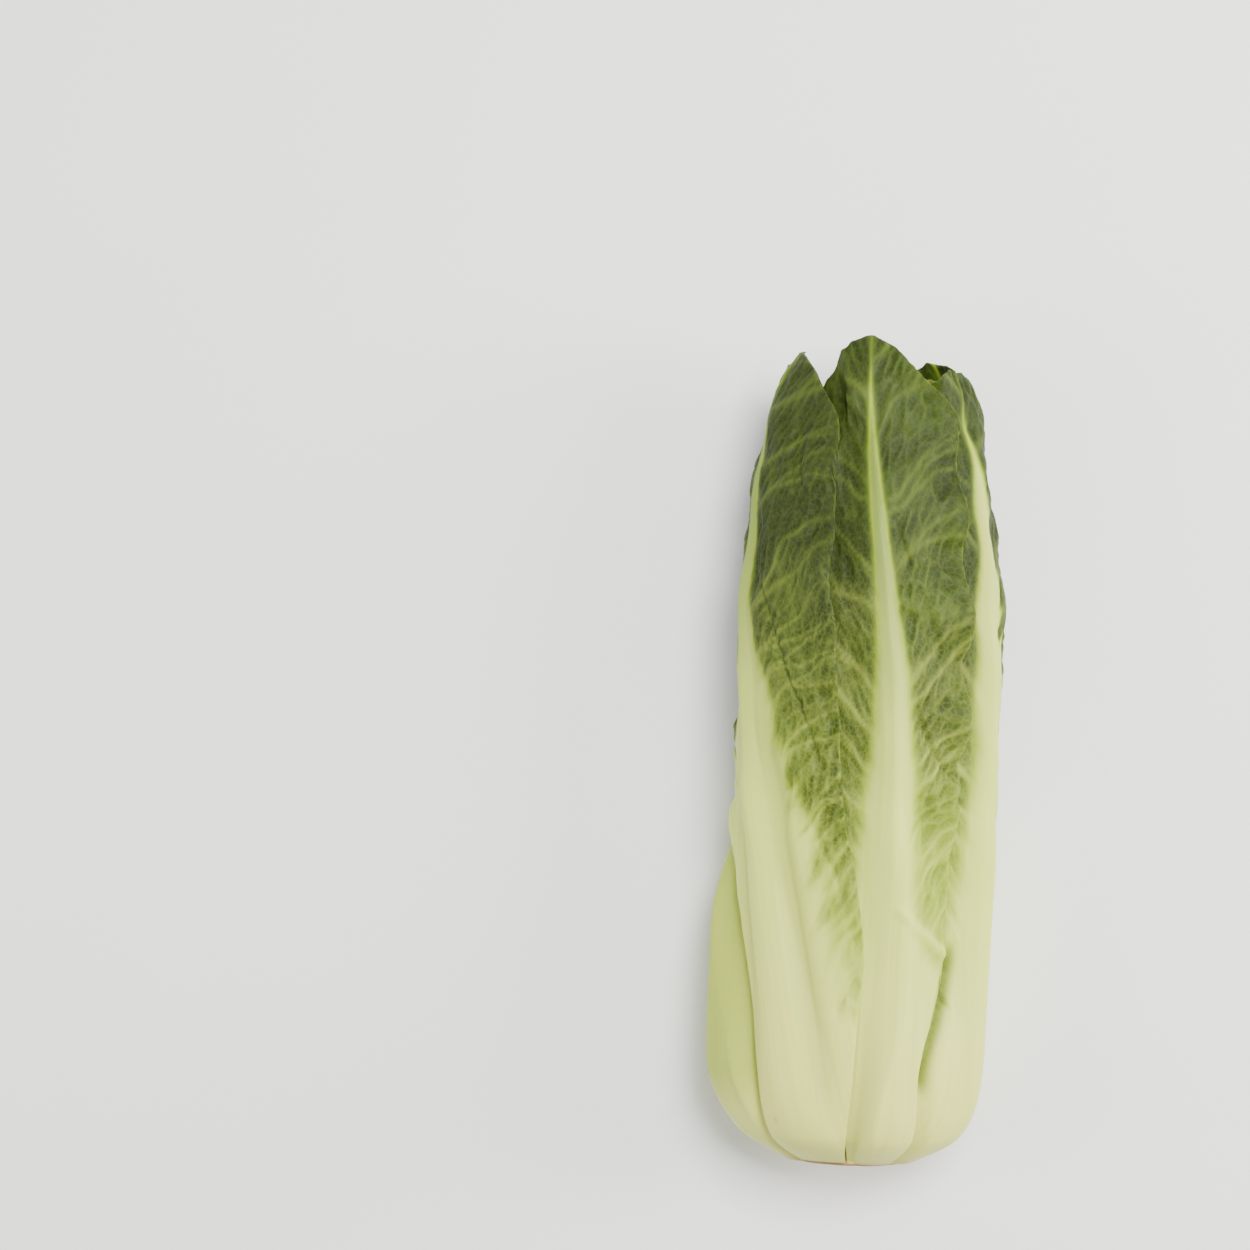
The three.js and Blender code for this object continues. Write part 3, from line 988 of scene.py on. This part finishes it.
def leaf_finish(name, ripest):
    """Leaf skin: cream stalk through yellow-green to dark green, with paler veins and painted shade in its
    hollows.
    """
    skin = Finish(name)
    green, vein, hollow, cut, rib = (
        skin.add("ShaderNodeAttribute", {"attribute_name": value}, out=2) for value in CARRIED
    )
    place = skin.add("ShaderNodeAttribute", {"attribute_name": "place"}, out=1)
    height = skin.add("ShaderNodeSeparateXYZ", None, {0: place}, out=1)
    fibres = noise_over(skin, place, FIBRE_STRETCH, 3.0)
    bands = noise_over(skin, place, BAND_STRETCH, 2.0)
    mottle = noise_over(skin, place, MOTTLE_STRETCH, 5.0)
    cells = skin.add(
        "ShaderNodeTexVoronoi",
        {"feature": "DISTANCE_TO_EDGE"},
        {"Vector": stretched(skin, place, CELL_STRETCH), "Scale": 1.0},
    )
    veinlet = soft_step(skin, cells, 0.0, 0.18, 1.0, 0.0)
    from_foot = soft_step(skin, height, 0.005, 0.11)
    to_tip = soft_step(skin, height, 0.09, 0.21)
    on_blade = soft_step(skin, green, 0.0, 0.34)

    stalk = skin.mixed(from_foot, STALK_AT_FOOT, STALK_ABOVE)
    banded = skin.mixed(0.6 * bands, stalk, STALK_BAND)
    streaked = skin.mixed(fibres * 0.3, banded, STALK_STREAK)
    greened = skin.mixed(to_tip * rib, streaked, MIDRIB_AT_TIP)
    depth = green * (0.84 + 0.32 * mottle)
    tissue = skin.add("ShaderNodeValToRGB", {"stops": BLADE_STOPS}, {"Fac": depth * ripest})
    base = skin.mixed(on_blade, greened, tissue)
    # Painted shade: dark green mixed in at the hollows, creases, flutes and slit
    with_painted_shade = skin.mixed(hollow * 0.5, base, PAINTED_HOLLOW_SHADE)
    vein_tone = skin.mixed(to_tip, VEIN_BELOW, VEIN_AT_TIP)
    ribbed = skin.mixed(vein * 0.55, with_painted_shade, vein_tone)
    netted = skin.mixed(veinlet * on_blade * 0.12, ribbed, vein_tone)
    browned = skin.mixed(cut * (0.35 + 0.5 * mottle), netted, BROWNED)
    skin.wear("Base Color", browned)

    skin.wear("Roughness", 0.34 + 0.2 * mottle + 0.14 * on_blade)
    fine = (0.5 - veinlet * 0.5) * on_blade * 0.5 + fibres * (1 - on_blade) * 0.3 + mottle * 0.3
    bump = {"Height": fine, "Strength": 0.35, "Distance": 0.0004}
    skin.wear("Normal", skin.add("ShaderNodeBump", None, bump))
    skin.wear("Subsurface Weight", 0.25)
    skin.wear("Subsurface Radius", (0.8, 1.0, 0.25))
    skin.wear("Subsurface Scale", 0.0025)
    skin.wear("Specular IOR Level", 0.16)
    return skin.material


def lay_leaf(k, rows, side, material):
    """A finished leaf in place of its solid."""
    mesh = closed_sheet(leaves[k].name + "_blade", leaf_sheet(k, rows, side))
    mesh.materials.append(material)
    piece = in_scene(leaves[k].name + "_blade", mesh)
    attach(piece, "root")
    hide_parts(leaves[k].name)


OUTER_RIPEST = 1.0
OUTER_ROWS = 300
OUTER_SIDE = 68
outer_skin = leaf_finish("outer_leaf_skin", OUTER_RIPEST)
for number in range(OUTER_COUNT):
    lay_leaf(number, OUTER_ROWS, OUTER_SIDE, outer_skin)


# The inner leaves
# Eight smaller leaves fill the head, each a step further round the spiral and higher up the stem.
# They have had little light, so they are tender and yellow-green, each thinner and paler than the last.
INNER_COUNT = 8
FIRST_TURN = -20.0
SPIRAL = 137.5
INNER_REACH = (44, 48, 52, 56, 64, 66, 46)
INNER_WIDENING = 0.05
INNER_LEAN = 8.0
INNER_LEAN_STEP = 2.4
INNER_FOOT = 7.5
INNER_FOOT_STEP = 3.0
INNER_TIP = 244.0
INNER_TIP_STEP = 2.4
INNER_TIP_CURVE = 0.6
INNER_THICKNESS = 0.85
INNER_THINNING = 0.04
INNER_AIR = 1.75
INNER_PRESS_FAR = 40.0
INNER_RIPENESS = 0.8
INNER_PALING = 0.08
INNER_RIPEST = 0.36
INNER_ROWS = 190
INNER_SIDE = 44

for i in range(INNER_COUNT):
    reach = [r * (1 + INNER_WIDENING * i) for r in INNER_REACH]
    leaves.append(
        Leaf(
            "leaf_inner_" + str(i + 1),
            turn=FIRST_TURN + SPIRAL * i,
            lean=INNER_LEAN * math.sin(INNER_LEAN_STEP * i),
            foot=INNER_FOOT + INNER_FOOT_STEP * i,
            tip=INNER_TIP - INNER_TIP_STEP * i - INNER_TIP_CURVE * i**2,
            left=reach,
            right=reach,
            thickness=INNER_THICKNESS - INNER_THINNING * i,
            ridge=INNER_THICKNESS - INNER_THINNING * i,
            air=INNER_AIR,
            fade=INNER_PRESS_FAR,
            ripeness=INNER_RIPENESS - INNER_PALING * i,
        )
    )

inner_skin = leaf_finish("inner_leaf_skin", INNER_RIPEST)
for number in range(OUTER_COUNT, OUTER_COUNT + INNER_COUNT):
    lay_leaf(number, INNER_ROWS, INNER_SIDE, inner_skin)


# The stem
# The short cone that every leaf grows from, solid and moist. It was cut across at the foot, and the
# cut has a ring of sap vessels, has sunk a little and has browned at its edge.
STEM_SEGMENTS = 96
STEM_RINGS = 26
STEM_RING_POWER = 1.5
STEM_LAP = 0.5
STEM_TOP_SHARE = 0.995
STEM_RIBS = 8
STEM_RIB_HEIGHT = 0.012
STEM_RIB_TWIST = 20.0
CUT_RINGS = 14
CUT_SHARE = 0.98
CUT_SINK = 0.25
CUT_DENT = 0.25
CUT_MIDDLE_SINK = 0.3
CUT_SEED = 7


def stem_mesh():
    """The cone and its sunken cut, ring by ring from the middle of the cut to the top."""
    noise = Noise(CUT_SEED)
    around = np.linspace(0, 360, STEM_SEGMENTS, endpoint=False)
    sine = np.sin(np.radians(around))
    cosine = np.cos(np.radians(around))
    profile = [(STEM_RADIUS * CUT_SHARE * ring / CUT_RINGS, 0.0) for ring in range(1, CUT_RINGS)]
    heights = STEM_HEIGHT * STEM_TOP_SHARE * np.linspace(0, 1, STEM_RINGS) ** STEM_RING_POWER
    profile += [(float(stem_radius_at(h)), float(h)) for h in heights]
    points = []
    for radius, height in profile:
        share = radius / STEM_RADIUS
        dent = CUT_DENT * noise.rough(share * 4 + sine * 2, cosine * 2)
        with_painted_shade = np.where(height <= 0, np.maximum(CUT_SINK + dent * share, 0), 0)
        joined = STEM_GAP + STEM_LAP if height > 0 else 0
        ribs = np.sin(np.radians(around * STEM_RIBS + STEM_RIB_TWIST * height)) * (height > 1)
        grown = joined + radius * (1 + STEM_RIB_HEIGHT * ribs)
        x = foot_centre.x + grown * sine * MM
        y = foot_centre.y + (height + with_painted_shade) * MM
        z = foot_centre.z + FLATTENING * grown * cosine * MM
        points.append(np.stack([x, y, z], axis=-1))
    rings = len(points)
    verts = [(foot_centre.x, foot_centre.y + CUT_MIDDLE_SINK * MM, foot_centre.z)]
    verts += [tuple(p) for ring in points for p in ring]
    verts.append((foot_centre.x, foot_centre.y + STEM_HEIGHT * MM, foot_centre.z))
    at = lambda ring, step: 1 + ring * STEM_SEGMENTS + step % STEM_SEGMENTS
    faces = [(0, at(0, s), at(0, s + 1)) for s in range(STEM_SEGMENTS)]
    for ring in range(rings - 1):
        faces += [
            (at(ring, s + 1), at(ring, s), at(ring + 1, s), at(ring + 1, s + 1))
            for s in range(STEM_SEGMENTS)
        ]
    last = len(verts) - 1
    faces += [(last, at(rings - 1, s + 1), at(rings - 1, s)) for s in range(STEM_SEGMENTS)]
    mesh = bpy.data.meshes.new("stem_flesh")
    mesh.from_pydata(verts, [], faces)
    mesh.shade_smooth()
    radii = np.array([0.0] + [r for r, _ in profile for _ in around] + [0.0], np.float32)
    mesh.attributes.new("from_centre", "FLOAT", "POINT").data.foreach_set("value", radii / STEM_RADIUS)
    return mesh


def stem_finish():
    """Wet cut flesh: cream in the middle, a darker ring of vessels, and brown at the edge."""
    flesh = Finish("stem_flesh")
    from_middle = flesh.add("ShaderNodeAttribute", {"attribute_name": "from_centre"}, out=2)
    blotch = flesh.add("ShaderNodeTexNoise", None, {"Scale": 420.0, "Detail": 6.0})
    speckle = flesh.add("ShaderNodeTexVoronoi", None, {"Scale": 900.0})
    stops = [
        (0.0, paint(226, 222, 184)),
        (0.5, paint(220, 214, 170)),
        (0.66, paint(188, 178, 118)),
        (0.76, paint(222, 214, 168)),
        (0.92, paint(205, 176, 122)),
        (1.0, paint(176, 136, 88)),
    ]
    outwards = from_middle * (0.94 + 0.12 * blotch)
    ringed = flesh.add("ShaderNodeValToRGB", {"stops": stops}, {"Fac": outwards})
    flesh.wear("Base Color", flesh.mixed(0.3 * speckle, ringed, paint(168, 138, 92)))
    flesh.wear("Roughness", 0.4 + 0.25 * blotch)
    bump = {"Height": blotch + 0.4 * speckle, "Strength": 0.4, "Distance": 0.0004}
    flesh.wear("Normal", flesh.add("ShaderNodeBump", None, bump))
    flesh.wear("Subsurface Weight", 0.3)
    flesh.wear("Subsurface Radius", (1.0, 0.8, 0.4))
    flesh.wear("Subsurface Scale", 0.003)
    return flesh.material


stem_shape = stem_mesh()
stem_shape.materials.append(stem_finish())
stem_piece = in_scene("stem_cut", stem_shape)
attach(stem_piece, "root")
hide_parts("stem")
